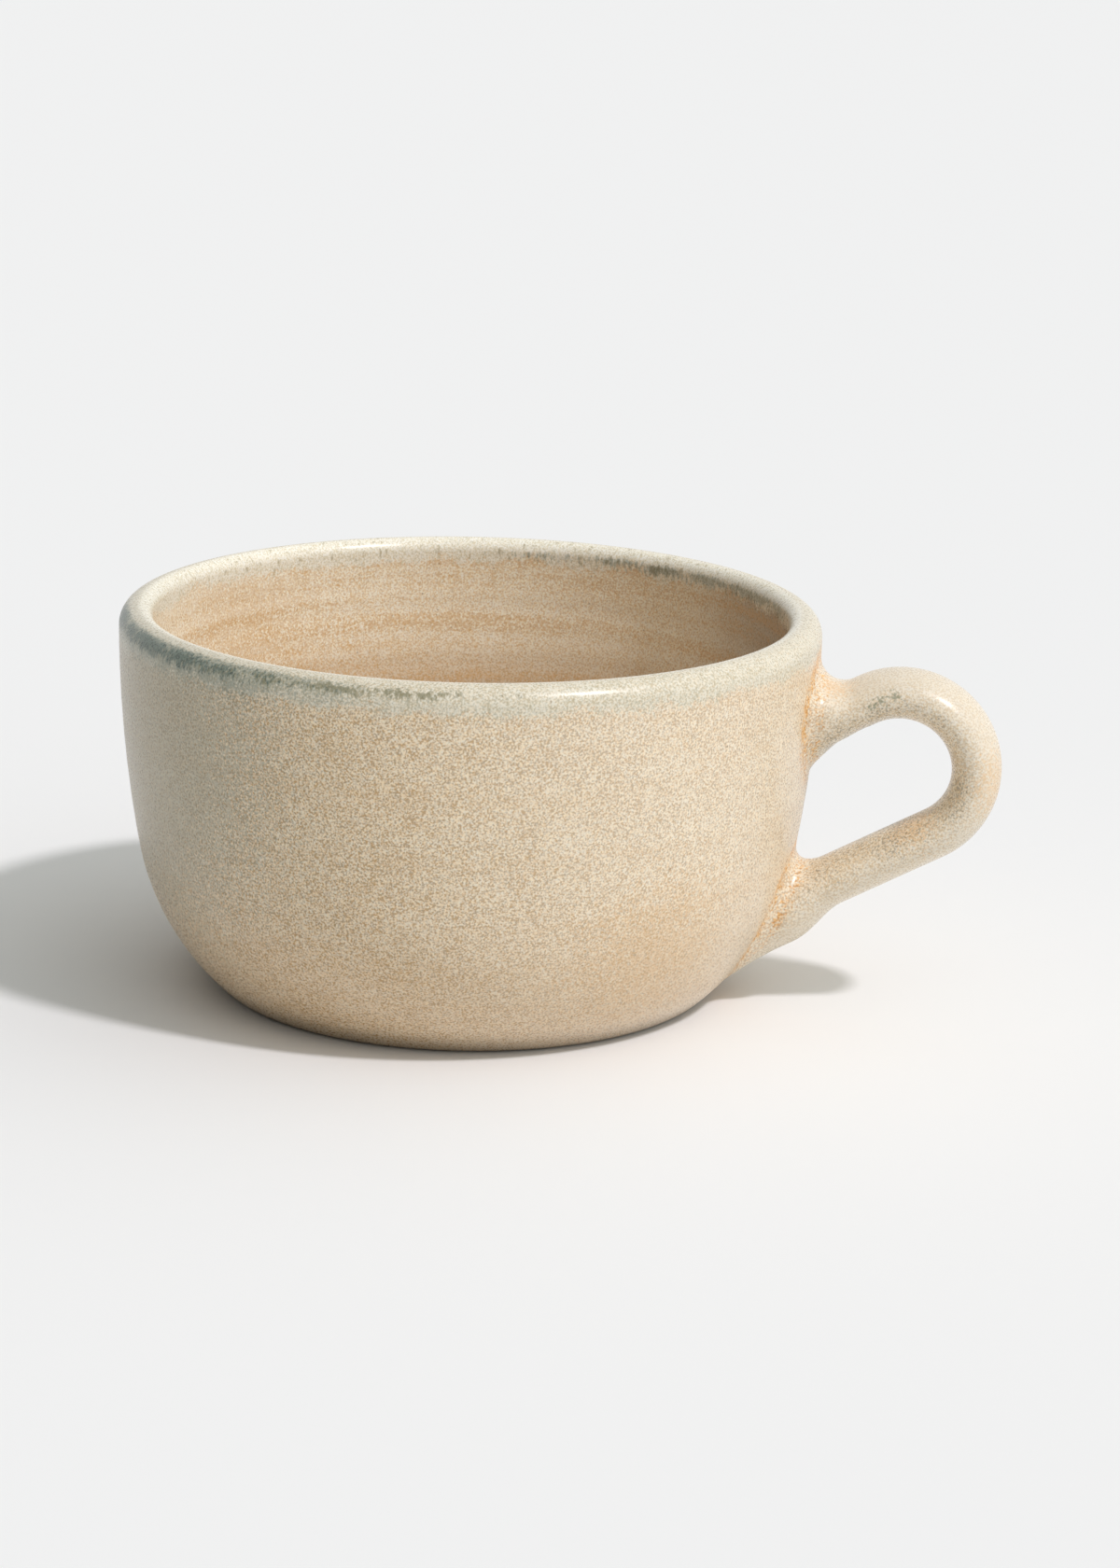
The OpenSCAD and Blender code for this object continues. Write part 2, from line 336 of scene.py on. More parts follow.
print("rope helpers ready, points around the rope:", RING_STEPS)

# %% [markdown]
# ## Drawing the handle
# A spin carries the first ring round the bend. Each arm is then drawn by extruding the open ring
# again and again, with the new ring placed by its gap to the wall. Extruding straight on and
# cutting the ends off would be shorter, but then the arms would meet the round wall in a hard edge.
# The last ring of an arm is a thin one, which keeps the shading even up to the slip's edge.

# %% Spin the bend and draw both arms towards the wall
BEND_STEPS, UPPER_STEPS, LOWER_STEPS = 72, 26, 52
thin_share = 0.02


def at_bend(out, side):
    """The skin of the rope where the bend starts."""
    centre, reach = rope_point(upper_end, 0.0, out, side)
    return centre + reach


def draw_arm(mesh, edges, end, steps):
    """Draw an arm from the bend to the slip's thickness off the wall, with one thin ring at the end."""
    thin = thin_share / steps
    for share in [(step + 1) / steps for step in range(steps - 1)] + [1 - thin, 1.0]:
        def place(out, side):
            """The skin at this share of the way from the bend to the slip."""
            centre, reach = rope_point(end, 0.0, out, side)
            start = beside_wall(centre + reach)[0]
            return skin_point(end, start + (slip_t - start) * share, out, side)
        edges = draw_on(mesh, edges, place)
    return edges


handle_mesh = start_rope()
ring, ring_edges = draw_ring(handle_mesh, at_bend)
bend_turn = math.pi + lift_turn - fall_turn
bend = bmesh.ops.spin(handle_mesh, geom=ring + ring_edges, cent=bend_c, axis=(0, 1, 0), dvec=(0, 0, 0),
                      angle=bend_turn, steps=BEND_STEPS, use_merge=False, use_duplicate=False)
upper_edges = draw_arm(handle_mesh, ring_edges, upper_end, UPPER_STEPS)
bend_edges = kinds(bend["geom_last"], bmesh.types.BMEdge)
lower_edges = draw_arm(handle_mesh, bend_edges, lower_end, LOWER_STEPS)
print("handle faces:", len(handle_mesh.faces))

# %% [markdown]
# ## The slip joints
# Slip is clay as thin as cream, used as glue. Each joint is a thin patch between the handle's end
# and the wall, and its rim is the hollow fillet that shows. It could be sculpted by hand, but drawn
# from the same skin points as the handle, from the slip's thickness down to the wall, it always
# fits. It is sunk a little into the wall so that no gap opens, and its rings lie closest together
# where the fillet runs out flat.

# %% Draw the two slip joints
JOINT_STEPS = 16
sunk, first_share = 0.3, 0.98


def draw_joint(end):
    """A patch of slip under one end of the handle; also gives back its line on the wall."""
    mesh = start_rope()
    edges = draw_ring(mesh, lambda out, side: skin_point(end, slip_t, out, side))[1]
    bmesh.ops.edgeloop_fill(mesh, edges=edges)
    shares = [(1 - (step + 1) / JOINT_STEPS) ** 2 for step in range(JOINT_STEPS)]
    for share in [first_share] + shares:
        edges = draw_on(mesh, edges, lambda out, side: skin_point(end, slip_t * share, out, side))
    seam = [(edge.verts[0].co.copy(), edge.verts[1].co.copy()) for edge in edges]
    edges = draw_on(mesh, edges, lambda out, side: skin_point(end, -sunk, out, side))
    bmesh.ops.edgeloop_fill(mesh, edges=edges)
    return mesh, seam


upper_joint_mesh, upper_seam = draw_joint(upper_end)
lower_joint_mesh, lower_seam = draw_joint(lower_end)
for edges in (upper_edges, lower_edges):
    bmesh.ops.edgeloop_fill(handle_mesh, edges=edges)
print("joint faces:", len(upper_joint_mesh.faces), len(lower_joint_mesh.faces))

# %% [markdown]
# ## Telling the glaze where the seams are
# Along a joint the glaze breaks, and the iron in the clay shows as a rust line. A shader cannot
# see a neighbouring piece, so each vertex stores its own distance from the nearest seam on the
# wall. Weight painting would do that by hand. A nearest-point tree does it for all four pieces
# in one go, and because they share one measure the rust runs on from piece to piece. The bowl also
# stores how far each vertex lies off its outside, which tells the glaze inside from the outside.

# %% Store the distance from the nearest seam on every vertex
SEAM_STEPS = 4
seam_points = [a.lerp(b, step / SEAM_STEPS) for a, b in upper_seam + lower_seam
               for step in range(SEAM_STEPS)]
seam_tree = kdtree.KDTree(len(seam_points))
for number, point in enumerate(seam_points):
    seam_tree.insert(point, number)
seam_tree.balance()
for mesh in (bowl_mesh, handle_mesh, upper_joint_mesh, lower_joint_mesh):
    from_seam = mesh.verts.layers.float.new("from_seam")
    for vertex in mesh.verts:
        vertex[from_seam] = seam_tree.find(vertex.co)[2] * MM
off_wall = bowl_mesh.verts.layers.float.new("off_wall")
for vertex in bowl_mesh.verts:
    vertex[off_wall] = beside_wall(vertex.co)[0] * MM
print("seam points:", len(seam_points))

# %% [markdown]
# ## Making the pieces
# Each mesh becomes an object at the origin, in metres, that rides on the cup's one body and
# stands for its CAD node. Faces are shaded smooth. The edges around the flat ends are marked
# sharp, so that the hidden caps do not bend the shading of the skin that shows.

# %% Turn the four meshes into pieces
def make_piece(mesh, name, node):
    """Scale a mesh to metres and make it the piece that stands for a CAD node."""
    bmesh.ops.recalc_face_normals(mesh, faces=mesh.faces)
    bmesh.ops.scale(mesh, vec=(MM, MM, MM), verts=mesh.verts)
    for face in mesh.faces:
        face.smooth = len(face.verts) <= 4
        if not face.smooth:
            for edge in face.edges:
                edge.smooth = False
    data = bpy.data.meshes.new(name)
    mesh.to_mesh(data)
    piece = bpy.data.objects.new(name, data)
    bpy.context.scene.collection.objects.link(piece)
    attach(piece, "root")
    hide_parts(node)
    print(name, "faces:", len(data.polygons))
    return piece


bowl = make_piece(bowl_mesh, "thrown_bowl", "bowl")
handle = make_piece(handle_mesh, "pulled_handle", "handle")
upper_joint = make_piece(upper_joint_mesh, "upper_slip", "upper_slip_joint")
lower_joint = make_piece(lower_joint_mesh, "lower_slip", "lower_slip_joint")

# %% [markdown]
# ## Wiring shader nodes
# A glaze is a stack of thin effects, and each effect is a handful of nodes. They could be dragged
# together in the shader editor. Helpers do the same in one line each and keep the order readable:
# one adds a node and plugs its inputs, one does sums, and two make soft steps.

# %% Helpers for nodes
def wire(tree, kind, plugs=None, **settings):
    """Add a node, set its options, and plug a socket or a number into each named input."""
    node = tree.nodes.new(kind)
    for option, value in settings.items():
        setattr(node, option, value)
    for socket, value in (plugs or {}).items():
        if isinstance(value, bpy.types.NodeSocket):
            tree.links.new(value, node.inputs[socket])
        else:
            node.inputs[socket].default_value = value
    return node


def work_out(tree, operation, first, second=0.0, third=0.0):
    """One sum of numbers that change over the surface."""
    return wire(tree, "ShaderNodeMath", {0: first, 1: second, 2: third}, operation=operation).outputs[0]


def soft_step(tree, value, low, high):
    """0 at low, 1 at high and a gentle rise between; low may be the larger one."""
    plugs = {"Value": value, "From Min": low, "From Max": high}
    return wire(tree, "ShaderNodeMapRange", plugs, interpolation_type="SMOOTHSTEP").outputs["Result"]


def soft_edge(tree, value, limit, softness):
    """0 below a limit and 1 above it, with a soft edge to both sides."""
    low = work_out(tree, "SUBTRACT", limit, softness)
    high = work_out(tree, "ADD", limit, softness)
    return soft_step(tree, value, low, high)


print("helpers for nodes ready")

# %% [markdown]
# ## Mixing colours
# Most layers of a glaze are one colour laid over another. A Mix node could be wired anew for each
# of them. One helper does it in a line, and a second one does it by a share of a mask. Colours are
# written as they look on a screen, and turned into the light values that a shader takes.

# %% Helpers for colours
def lay_over(tree, share, under, over):
    """Lay one colour over another by a share that changes over the surface."""
    return wire(tree, "ShaderNodeMix", {0: share, 6: under, 7: over}, data_type="RGBA").outputs[2]


def wash(tree, mask, share, under, over):
    """Lay one colour over another where a mask says, and there only by a share."""
    return lay_over(tree, work_out(tree, "MULTIPLY", mask, share), under, over)


def paint(red, green, blue):
    """A screen colour of 0 to 255 as the light values that a shader takes, by the sRGB curve."""
    tones = [tone / 255 for tone in (red, green, blue)]
    return [t / 12.92 if t <= 0.04045 else ((t + 0.055) / 1.055) ** 2.4 for t in tones] + [1.0]


print("helpers for colours ready; mid grey as light:", [round(tone, 3) for tone in paint(128, 128, 128)])

# %% [markdown]
# ## Groups and noise
# What several layers use is built once, as a node group with named inputs, and placed wherever it
# is needed. Copying nodes from material to material would work too, until one copy is changed and
# the others are forgotten. Every group reads a place on the object, so that the glaze runs on
# across the seams between the pieces. Noise gives the grain, with its fineness per metre.

# %% Helpers for groups and noise
def start_group(name, inputs, outputs):
    """A new node group with a place to read from, named numbers to set, and named masks to give."""
    tree = bpy.data.node_groups.new(name, "ShaderNodeTree")
    tree.interface.new_socket("Place", in_out="INPUT", socket_type="NodeSocketVector")
    for label, value in inputs.items():
        socket = tree.interface.new_socket(label, in_out="INPUT", socket_type="NodeSocketFloat")
        socket.default_value = value
    for label in outputs:
        tree.interface.new_socket(label, in_out="OUTPUT", socket_type="NodeSocketFloat")
    return tree, tree.nodes.new("NodeGroupInput").outputs, tree.nodes.new("NodeGroupOutput").inputs


def noise(tree, place, fineness, detail=2.0, roughness=0.5):
    """Noise from 0 to 1 with one fineness in all directions."""
    plugs = {"Vector": place, "Scale": fineness, "Detail": detail, "Roughness": roughness}
    return wire(tree, "ShaderNodeTexNoise", plugs).outputs["Fac"]


def speckle(tree, place, stretch, detail=2.0, roughness=0.5):
    """Noise from 0 to 1 with its own fineness along x, y and z."""
    scaled = wire(tree, "ShaderNodeVectorMath", {0: place, 1: stretch}, operation="MULTIPLY").outputs[0]
    return noise(tree, scaled, 1.0, detail, roughness)


def swing(tree, value, weight):
    """A noise of 0 to 1 as a swing around 0, as wide as its weight."""
    return work_out(tree, "MULTIPLY_ADD", value, weight, -weight / 2)


print("helpers for groups ready")

# %% [markdown]
# ## Grain
# Oatmeal glaze looks like fine sand: cream crystals on a tan ground, each about a third of a
# millimetre, with looser clumps and broad clouds on top, and here and there a speck of iron.
# One noise alone looks like fog. Three sizes added together, each with its own weight, look like
# glaze. A second noise lets each grain lean to grey or to orange, or it would look like a print.
# The group gives a tone from tan to cream, that warmth, the specks, and a relief for the bump.

# %% Group: sandy grain
clump_fineness, clump_weight = (560, 560, 560), 0.64
cloud_fineness, cloud_weight = (90, 90, 90), 0.3
warm_shift, warm_coarseness = (0.3, 0.5, 0.7), 0.8
grey_below, orange_above = 0.3, 0.7
bare_cells, speckled_cells, speck_core = 0.62, 0.72, 0.4
clump_relief, fine_relief = 0.6, 0.4
grain, given, out = start_group(
    "sandy grain", {"Fine": 3200.0, "Contrast": 3.8, "Specks": 420.0, "Speck size": 0.10},
    ["Tone", "Warm", "Specks", "Relief"])
fine = noise(grain, given["Place"], given["Fine"], detail=1.0)
clumps = speckle(grain, given["Place"], clump_fineness)
clouds = speckle(grain, given["Place"], cloud_fineness)
loose = work_out(grain, "ADD", swing(grain, clumps, clump_weight), swing(grain, clouds, cloud_weight))
sand = work_out(grain, "MULTIPLY", work_out(grain, "SUBTRACT", fine, 0.5), given["Contrast"])
tone = work_out(grain, "ADD", work_out(grain, "ADD", sand, loose), 0.5)
grain.links.new(wire(grain, "ShaderNodeClamp", {"Value": tone}).outputs[0], out["Tone"])

moved = {0: given["Place"], 1: warm_shift}
elsewhere = wire(grain, "ShaderNodeVectorMath", moved, operation="ADD").outputs[0]
coarser = work_out(grain, "MULTIPLY", given["Fine"], warm_coarseness)
tint = noise(grain, elsewhere, coarser, roughness=0.6)
grain.links.new(soft_step(grain, tint, grey_below, orange_above), out["Warm"])

cells = wire(grain, "ShaderNodeTexVoronoi", {"Vector": given["Place"], "Scale": given["Specks"]}).outputs
lot = wire(grain, "ShaderNodeSeparateColor", {0: cells["Color"]}).outputs[0]
chosen = soft_step(grain, lot, bare_cells, speckled_cells)
core = work_out(grain, "MULTIPLY", given["Speck size"], speck_core)
dots = soft_step(grain, cells["Distance"], given["Speck size"], core)
grain.links.new(work_out(grain, "MULTIPLY", dots, chosen), out["Specks"])
relief = work_out(grain, "MULTIPLY_ADD", clumps, clump_relief, work_out(grain, "MULTIPLY", fine, fine_relief))
grain.links.new(relief, out["Relief"])
print(grain.name, "nodes:", len(grain.nodes))

# %% [markdown]
# ## Colours that come in grains
# Where a second glaze lies over the first, it does not cover it like paint. It breaks up into
# grains: many where the coat is thick, few where it thins out. So every layer below first works
# out a density, and this group turns the density into grains. A plain blend would look airbrushed.

# %% Group: scattered grains
evenness = 2.2
grains, given, out = start_group(
    "scattered grains", {"Density": 0.5, "Fine": 2200.0, "Softness": 0.25}, ["Grains"])
spread = noise(grains, given["Place"], given["Fine"], detail=1.0)
even = work_out(grains, "ADD", swing(grains, spread, evenness), 0.5)
room = work_out(grains, "MULTIPLY_ADD", given["Softness"], 2.0, 1.0)
left_out = work_out(grains, "SUBTRACT", 1.0, given["Density"])
limit = work_out(grains, "SUBTRACT", work_out(grains, "MULTIPLY", left_out, room), given["Softness"])
grains.links.new(soft_edge(grains, even, limit, given["Softness"]), out["Grains"])
print(grains.name, "nodes:", len(grains.nodes))

# %% [markdown]
# ## Single marks
# Flame and pooled glaze leave single marks: a blush, a warm glow, a grey veil on one side. They
# could be painted by hand as vertex colours. A soft ball around a point is enough here, full at
# its middle and gone at its radius, and three numbers move it.

# %% Group: soft spot
spots, given, out = start_group("soft spot", {"X": 0.0, "Y": 0.0, "Z": 0.0, "Radius": 0.004}, ["Spot"])
middle = wire(spots, "ShaderNodeCombineXYZ", {axis: given[axis] for axis in "XYZ"}).outputs[0]
ends = {0: given["Place"], 1: middle}
apart = wire(spots, "ShaderNodeVectorMath", ends, operation="DISTANCE").outputs["Value"]
spots.links.new(soft_step(spots, apart, given["Radius"], 0.0), out["Spot"])
print(spots.name, "nodes:", len(spots.nodes))

# %% [markdown]
# ## Bands from the wheel
# On the ridges of the throwing lines glaze is thinner and toasts to orange. Rings of even width
# would be easy to make, but they look machined. The real bands lie level and wander a little, so
# a noise is squeezed flat: coarse around the cup and fine up the wall.

# %% Group: toasted bands
band_fineness, mottle_fineness, mottle_weight = (9, 9, 360), (260, 260, 500), 0.35
bands, given, out = start_group("toasted bands", {"Level": 0.5, "Softness": 0.22}, ["Band"])
flat = speckle(bands, given["Place"], band_fineness, roughness=0.6)
mottle = swing(bands, speckle(bands, given["Place"], mottle_fineness), mottle_weight)
wander = work_out(bands, "ADD", flat, mottle)
bands.links.new(soft_edge(bands, wander, given["Level"], given["Softness"]), out["Band"])
print(bands.name, "nodes:", len(bands.nodes))

# %% [markdown]
# ## The dipped lip
# Where the rim was dipped a second time the glaze is thick and pale, and thins out downwards. A
# sharp line would look like tape, so the height of the edge swings with a noise.

# %% Group: dipped edge
drip_fineness = (150, 150, 110)
dipped, given, out = start_group(
    "dipped edge", {"Height": 0.0568, "Softness": 0.0022, "Ragged": 0.006}, ["Density"])
height = wire(dipped, "ShaderNodeSeparateXYZ", {0: given["Place"]}).outputs["Z"]
drips = speckle(dipped, given["Place"], drip_fineness, detail=3.0, roughness=0.6)
drips = work_out(dipped, "SUBTRACT", drips, 0.5)
level = work_out(dipped, "MULTIPLY_ADD", drips, given["Ragged"], height)
dipped.links.new(soft_edge(dipped, level, given["Height"], given["Softness"]), out["Density"])
print(dipped.name, "nodes:", len(dipped.nodes))

# %% [markdown]
# ## Runs of glaze
# In two places along the lip the glaze ran blue-grey and olive, in feathers that follow gravity.
# A painted mask would show them from one side only. A height, with a noise that is drawn out
# downwards, and a start and an end around the cup, as a turn from the handle, hold from all sides.

# %% Group: glaze run
feather_fineness, blot_fineness = (620, 620, 150), (130, 130, 200)
hole_below, blot_above = 0.32, 0.6
run, given, out = start_group(
    "glaze run", {"Starts": -2.9, "Full from": -2.7, "Full to": -2.0, "Ends": -1.2, "Height": 0.0592,
                  "Upwards": 0.0012, "Downwards": 0.0028, "Ragged": 0.002, "Patchy": 0.65}, ["Density"])
parts = wire(run, "ShaderNodeSeparateXYZ", {0: given["Place"]}).outputs
turn = work_out(run, "ARCTAN2", parts["Y"], parts["X"])
begun = soft_step(run, turn, given["Starts"], given["Full from"])
not_over = soft_step(run, turn, given["Ends"], given["Full to"])
window = work_out(run, "MULTIPLY", begun, not_over)
feathers = speckle(run, given["Place"], feather_fineness, roughness=0.6)
feathers = work_out(run, "SUBTRACT", feathers, 0.5)
level = work_out(run, "SUBTRACT", parts["Z"], given["Height"])
hanging = work_out(run, "MULTIPLY_ADD", feathers, given["Ragged"], level)
below = soft_step(run, hanging, work_out(run, "MULTIPLY", given["Downwards"], -1.0), 0.0)
above = soft_step(run, level, given["Upwards"], 0.0)
strength = work_out(run, "MULTIPLY", work_out(run, "MULTIPLY", below, above), window)
blots = soft_step(run, speckle(run, given["Place"], blot_fineness), hole_below, blot_above)
holes = work_out(run, "MULTIPLY", given["Patchy"], work_out(run, "SUBTRACT", 1.0, blots))
kept = work_out(run, "SUBTRACT", 1.0, holes)
run.links.new(work_out(run, "MULTIPLY", strength, kept), out["Density"])
print(run.name, "nodes:", len(run.nodes))

# %% [markdown]
# ## Rust along the seams
# The stored distance from the seam drives this one. Glaze breaks to orange on two lines: in the
# crease on the wall, and on the shoulder where the slip runs up onto the handle. Two clean lines
# would read as painted rings, so a patchy noise lets both break off.

# %% Group: rusty crease
patch_fineness, bare_below, patch_above = (480, 480, 480), 0.36, 0.64
patch_share, least_share = 0.48, 0.28
crease_reach, line_core, halo_reach = 0.0026, 0.0002, 0.0060
shoulder_at, shoulder_reach = 0.0028, 0.0018
rusty, given, out = start_group("rusty crease", {"From seam": 0.0, "Shoulder": 0.0}, ["Rust", "Halo"])
patches = speckle(rusty, given["Place"], patch_fineness, detail=3.0, roughness=0.6)
patches = soft_step(rusty, patches, bare_below, patch_above)
crease = soft_step(rusty, given["From seam"], crease_reach, line_core)
off_shoulder = work_out(rusty, "ABSOLUTE", work_out(rusty, "SUBTRACT", given["From seam"], shoulder_at))
shoulder = soft_step(rusty, off_shoulder, shoulder_reach, line_core)
lines = work_out(rusty, "MAXIMUM", crease, work_out(rusty, "MULTIPLY", shoulder, given["Shoulder"]))
broken = work_out(rusty, "MULTIPLY_ADD", patches, patch_share, least_share)
rusty.links.new(work_out(rusty, "MULTIPLY", lines, broken), out["Rust"])
rusty.links.new(soft_step(rusty, given["From seam"], halo_reach, 0.0), out["Halo"])
print(rusty.name, "nodes:", len(rusty.nodes))

# %% [markdown]
# ## A satin glaze
# Every glaze on the cup starts and ends alike: with its place on the object, and with a glossy
# surface that has a soft bloom. One rough value all over would look like plastic, so roughness
# follows the grain, and a small bump breaks the highlight. These helpers hold what all of them share.

# %% Helpers that start and finish a glaze
bump_strength, bump_depth, glaze_ior = 0.25, 0.0001, 1.5


def start_glaze(name):
    """A new material with its shader, its place on the object and its distance from the seams."""
    material = bpy.data.materials.new(name)
    material.use_nodes = True
    tree = material.node_tree
    shader = tree.nodes["Principled BSDF"]
    place = tree.nodes.new("ShaderNodeTexCoord").outputs["Object"]
    seam = wire(tree, "ShaderNodeAttribute", attribute_name="from_seam").outputs["Fac"]
    return material, tree, shader, place, seam


def finish_glaze(tree, shader, colour, sand, smoothest, roughest):
    """Plug colour, satin sheen and relief into the shader; cream grains are the rougher ones."""
    sheen = {"Value": sand["Tone"], "To Min": smoothest, "To Max": roughest}
    bump = {"Strength": bump_strength, "Distance": bump_depth, "Height": sand["Relief"]}
    tree.links.new(colour, shader.inputs["Base Color"])
    tree.links.new(wire(tree, "ShaderNodeMapRange", sheen).outputs["Result"], shader.inputs["Roughness"])
    tree.links.new(wire(tree, "ShaderNodeBump", bump).outputs["Normal"], shader.inputs["Normal"])
    shader.inputs["IOR"].default_value = glaze_ior


print("start and finish of a glaze ready, bump in mm:", bump_depth / MM)

# %% [markdown]
# ## Layers of a glaze
# Between start and finish lies a ground of grains with layers sprinkled over it. Each layer could
# be a shader of its own, mixed in by a mask, but a stack of shaders is hard to bake. So only
# colours are laid over each other, and one shader takes what comes out on top.

# %% Helpers that lay the layers
def use(tree, group, plugs):
    """Place a node group in a material and give its outputs."""
    return wire(tree, "ShaderNodeGroup", plugs, node_tree=group).outputs


def ground(tree, sand, dark, light):
    """Grains from dark to light; each of the two is a pair of a greyer and a more orange colour."""
    dark_grains = lay_over(tree, sand["Warm"], *dark)
    light_grains = lay_over(tree, sand["Warm"], *light)
    return lay_over(tree, sand["Tone"], dark_grains, light_grains)


def sprinkle(tree, place, density, under, over, share=1.0, fine=2200.0, softness=0.25):
    """Lay a colour over another in grains, as many as the density says."""
    plugs = {"Place": place, "Density": density, "Fine": fine, "Softness": softness}
    return wash(tree, use(tree, grains, plugs)["Grains"], share, under, over)


print("helpers for layers ready")

# %% [markdown]
# ## The oatmeal glaze of the bowl: its ground
# The colours of the bowl go on layer by layer, and the ground comes first: cream grains on tan,
# paler inside than outside. Two materials could split inside from outside, but they would meet in
# a hard line on the lip. The stored distance off the outside gives a soft one.

# %% Material: bowl glaze, the ground
TANS = paint(183, 162, 132), paint(199, 161, 109)
CREAMS = paint(238, 228, 208), paint(246, 225, 189)
INNER_TANS = paint(224, 206, 178), paint(234, 204, 158)
INNER_CREAMS = paint(254, 249, 234), paint(255, 245, 219)
inside_from, inside_to = -0.0026, -0.0036
bowl_glaze, tree, shader, place, seam = start_glaze("oatmeal glaze")
sand = use(tree, grain, {"Place": place})
off_outside = wire(tree, "ShaderNodeAttribute", attribute_name="off_wall").outputs["Fac"]
inside = soft_step(tree, off_outside, inside_from, inside_to)
outside = work_out(tree, "SUBTRACT", 1.0, inside)
outer_ground = ground(tree, sand, TANS, CREAMS)
inner_ground = ground(tree, sand, INNER_TANS, INNER_CREAMS)
colour = lay_over(tree, inside, outer_ground, inner_ground)
print(bowl_glaze.name, "nodes of the ground:", len(tree.nodes))

# %% [markdown]
# ## Broad changes over the wall
# A coat of glaze is never even. Towards the foot it is browner, and a dark line along the foot is
# painted shade, where the belly turns under towards the floor. On the handle's side, which faces
# the light, the outside is painted paler as painted light, and the inside wall there, which lies in
# the shadow of its own rim, is painted darker as painted shade. Deep inside it is darker and warmer
# towards the bottom. Each could be a soft spot, but these changes are wide and even, so a ramp
# along the height or along x is enough.

# %% Material: bowl glaze, broad changes
BROWN, FOOT_SHADE, CLEAN_AND_LIT_TONE = paint(184, 139, 88), paint(112, 96, 76), paint(246, 240, 228)
INSIDE_SHADE, DEEP = paint(136, 125, 117), paint(170, 134, 94)
lit_side_share, both_sides = 0.22, 1.0
CHANGES = (
    {"axis": "Z", "start": 0.034, "full": 0.004, "side": outside, "share": 0.2, "tone": BROWN},
    # painted shade: a dark line along the foot, where the belly turns under towards the floor
    {"axis": "Z", "start": 0.0050, "full": 0.0008, "side": both_sides, "share": 0.5, "tone": FOOT_SHADE},
    # painted light: the outside is paler on the handle's side, which faces the light
    {"axis": "X", "start": -0.015, "full": 0.040, "side": outside, "share": lit_side_share, "tone": CLEAN_AND_LIT_TONE},
    # painted shade: the inside wall on the handle's side lies in the shadow of its own rim
    {"axis": "X", "start": 0.024, "full": 0.052, "side": inside, "share": 0.8, "tone": INSIDE_SHADE},
    {"axis": "Z", "start": 0.048, "full": 0.031, "side": inside, "share": 0.68, "tone": DEEP})
at = wire(tree, "ShaderNodeSeparateXYZ", {0: place}).outputs
for change in CHANGES:
    mask = soft_step(tree, at[change["axis"]], change["start"], change["full"])
    mask = work_out(tree, "MULTIPLY", mask, change["side"])
    colour = wash(tree, mask, change["share"], colour, change["tone"])
print(bowl_glaze.name, "broad changes:", len(CHANGES), "nodes:", len(tree.nodes))

# %% [markdown]
# ## Bands, glows and a veil
# Then come the toasted bands, with cleaner glaze between them inside, two warm glows where the
# flame licked the wall, and a cool grey veil on the side away from the handle. All of them are
# sprinkled in grains and not blended, so the sandy look stays.

# %% Material: bowl glaze, bands, glows and veil
TOAST, HAZE = paint(212, 170, 114), paint(152, 155, 140)
GLOWS = ({"X": -0.042, "Y": 0.024, "Z": 0.050, "Radius": 0.040},
         {"X": 0.036, "Y": -0.036, "Z": 0.016, "Radius": 0.034})
VEIL = {"X": -0.046, "Y": -0.0265, "Z": 0.048, "Radius": 0.064}
toasting = {"fine": 2300.0, "softness": 0.35}
inside_warmth, outside_warmth = 0.40, 0.16
toast_density, least_toast, glow_density, between_density = 0.5, 0.08, 0.6, 0.5


def add_marks(tree, place, marks, density, colour, tone, share, **scatter):
    """Sprinkle a tone in soft spots, each at its own place and with its own radius."""
    for mark in marks:
        spot = use(tree, spots, {"Place": place, **mark})["Spot"]
        spot = work_out(tree, "MULTIPLY", spot, density)
        colour = sprinkle(tree, place, spot, colour, tone, share, **scatter)
    return colour


band = use(tree, bands, {"Place": place})["Band"]
warmth = work_out(tree, "MULTIPLY_ADD", inside, inside_warmth, outside_warmth)
toasted = work_out(tree, "MULTIPLY_ADD", band, toast_density, least_toast)
colour = sprinkle(tree, place, toasted, colour, TOAST, share=warmth, **toasting)
colour = add_marks(tree, place, GLOWS, glow_density, colour, TOAST, share=0.45, **toasting)
between = work_out(tree, "MULTIPLY", work_out(tree, "SUBTRACT", 1.0, band), inside)
between = work_out(tree, "MULTIPLY", between, between_density)
colour = sprinkle(tree, place, between, colour, CLEAN_AND_LIT_TONE, share=0.26, **toasting)
veil = use(tree, spots, {"Place": place, **VEIL})["Spot"]
veiled = work_out(tree, "MULTIPLY", veil, outside)
colour = sprinkle(tree, place, veiled, colour, HAZE, share=0.52, fine=2600.0, softness=0.35)
print(bowl_glaze.name, "nodes with bands and veil:", len(tree.nodes))

# %% [markdown]
# ## The pale dip
# The dip at the lip lies over all these layers, so it comes after them. It has the wall's grain in
# paler colours, with a few olive grains that are drawn out downwards. A flat cream would be
# simpler, but it looks like a painted rim.

# %% Material: bowl glaze, the dip
PALE_GROUNDS = paint(194, 189, 168), paint(204, 190, 160)
PALES = paint(227, 223, 208), paint(233, 224, 203)
INNER_PALE_GROUNDS = paint(222, 218, 198), paint(228, 218, 190)
INNER_PALES = paint(252, 250, 240), paint(253, 248, 232)
OLIVE = paint(158, 145, 106)
dip_height, higher_inside = 0.0568, 0.0007
olive_density, more_inside, veil_share = 0.17, 0.05, 0.18
drawn_out = {0: place, 1: (1, 1, 0.4)}
upright = wire(tree, "ShaderNodeVectorMath", drawn_out, operation="MULTIPLY").outputs[0]
edge = work_out(tree, "MULTIPLY_ADD", inside, higher_inside, dip_height)
dip = use(tree, dipped, {"Place": place, "Height": edge})["Density"]
outer_pale = ground(tree, sand, PALE_GROUNDS, PALES)
